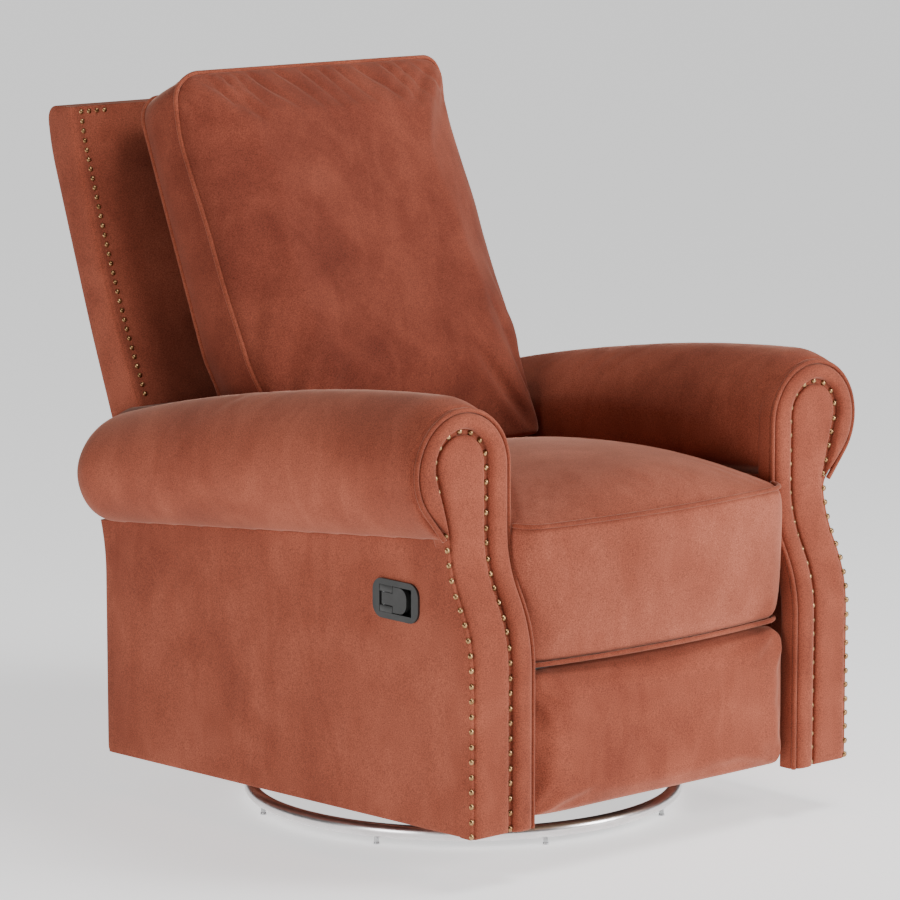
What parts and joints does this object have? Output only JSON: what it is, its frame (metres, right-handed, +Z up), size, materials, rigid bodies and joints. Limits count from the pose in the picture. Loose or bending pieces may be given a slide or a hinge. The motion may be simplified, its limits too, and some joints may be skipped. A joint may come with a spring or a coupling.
{
  "type": "swivel glider recliner",
  "caption": "Rolled-arm swivel glider recliner in terracotta velvet with piping, nail-head trim, a fold-out footrest and a round chrome floor ring.",
  "frame": {"origin": "on the floor, under the middle of the chair's outline with back upright and footrest closed; the swivel's axis stands 49 mm in front of it", "axes": "+X to the sitter's left, -Y to the front, +Z up"},
  "size_m": [0.8544, 0.9729, 1.0533],
  "materials": {
    "chrome_ring": "polished chrome-plated steel tube of the floor ring",
    "steel_black": "black powder-coated steel of the mechanism and the cross",
    "steel_zinc": "zinc-plated pins, bolts and springs",
    "glide_plastic": "black plastic floor glides",
    "velvet": "terracotta velvet with a short mottled nap, over padding",
    "piping": "double piping in the same terracotta velvet",
    "brass_nails": "antique brass upholstery nails with a domed head",
    "wood_frame": "plain hardwood and plywood frame parts",
    "handle_plastic": "dark grey release handle and its recessed housing",
    "cable_sheath": "black sheath of the release cable"
  },
  "bodies": {
    "base": {"base_ring": "chrome_ring", "base_glides": "glide_plastic", "base_cross": "steel_black", "swivel_hub": "steel_black", "hub_bolts": "steel_zinc", "swivel_bearing": "steel_black"},
    "turning_plate": {"swivel_plate": "steel_black", "glider_brackets": "steel_black", "glider_upper_pins": "steel_zinc"},
    "front_links": {"glider_links_front": "steel_black"},
    "rear_links": {"glider_links_rear": "steel_black"},
    "chair": {"arm_border_left": "velvet", "arm_border_right": "velvet", "arm_front_left": "velvet", "arm_front_right": "velvet", "arm_inner_left": "velvet", "arm_inner_right": "velvet", "arm_nails": "brass_nails", "arm_outer_left": "velvet", "arm_outer_right": "velvet", "arm_placard_left": "velvet", "arm_placard_right": "velvet", "arm_roll_left": "velvet", "arm_roll_right": "velvet", "arm_welt_left": "piping", "arm_welt_right": "piping", "footrest_pivot_pins": "steel_zinc", "glider_lower_pins": "steel_zinc", "glider_rails": "steel_black", "handle_housing": "handle_plastic", "mechanism_cross_tubes": "steel_black", "mechanism_plate_left": "steel_black", "mechanism_plate_right": "steel_black", "paddle_pin": "steel_zinc", "rear_panel": "velvet", "recline_pins": "steel_zinc", "release_cable": "cable_sheath", "seat_cushion": "velvet", "seat_front_rail": "wood_frame", "seat_rear_rail": "wood_frame", "seat_side_rails": "wood_frame", "seat_springs": "steel_zinc", "seat_welts": "piping"},
    "backrest": {"back_cover": "velvet", "back_frame": "wood_frame", "back_cushion": "velvet", "back_welts": "piping", "back_nails": "brass_nails", "back_brackets": "steel_black"},
    "footrest_lower": {"footrest_lower_links": "steel_black", "footrest_elbow_pins": "steel_zinc", "footrest_torque_tube": "steel_black"},
    "footrest_upper": {"footrest_upper_links": "steel_black", "footrest_toe_pins": "steel_zinc"},
    "footrest": {"footrest_board": "wood_frame", "footrest_pad": "velvet", "footrest_brackets": "steel_black"},
    "paddle": {"release_paddle": "handle_plastic"}
  },
  "joints": [
    {"name": "swivel", "type": "hinge", "parent": "base", "child": "turning_plate", "pos_m": [0, -0.049, 0.053], "axis": [0, 0, 1], "continuous": true},
    {"name": "glide", "type": "slide", "parent": "turning_plate", "child": "chair", "axis": [0, 1, 0], "range_m": [-0.03, 0.03], "stiffness_N_per_m": 4000},
    {"name": "front_link_swing", "type": "hinge", "parent": "turning_plate", "child": "front_links", "pos_m": [0, -0.149, 0.1643], "axis": [1, 0, 0], "range_deg": [-20, 20]},
    {"name": "rear_link_swing", "type": "hinge", "parent": "turning_plate", "child": "rear_links", "pos_m": [0, 0.051, 0.1643], "axis": [1, 0, 0], "range_deg": [-20, 20]},
    {"name": "recline", "type": "hinge", "parent": "chair", "child": "backrest", "pos_m": [0, 0.235, 0.33], "axis": [-1, 0, 0], "range_deg": [0, 30]},
    {"name": "footrest_swing", "type": "hinge", "parent": "chair", "child": "footrest_lower", "pos_m": [0, -0.28, 0.265], "axis": [-1, 0, 0], "range_deg": [0, 115.91]},
    {"name": "footrest_reach", "type": "hinge", "parent": "footrest_lower", "child": "footrest_upper", "pos_m": [0, -0.195, 0.112], "axis": [1, 0, 0], "range_deg": [0, 109.4]},
    {"name": "footrest_level", "type": "hinge", "parent": "footrest_upper", "child": "footrest", "pos_m": [0, -0.405, 0.168], "axis": [-1, 0, 0], "range_deg": [0, 83.5]},
    {"name": "paddle_pull", "type": "hinge", "parent": "chair", "child": "paddle", "pos_m": [-0.3645, -0.294, 0.3825], "axis": [0, 0, -1], "range_deg": [0, 25], "stiffness_Nm_per_rad": 0.6, "springref_deg": -5.73}
  ],
  "couplings": [
    {"joint": "front_link_swing", "follows": "glide", "rad_per_m": 10.62},
    {"joint": "rear_link_swing", "follows": "glide", "rad_per_m": 10.62},
    {"joint": "footrest_reach", "follows": "footrest_swing", "ratio": 0.9435},
    {"joint": "footrest_level", "follows": "footrest_swing", "ratio": 0.7199}
  ]
}
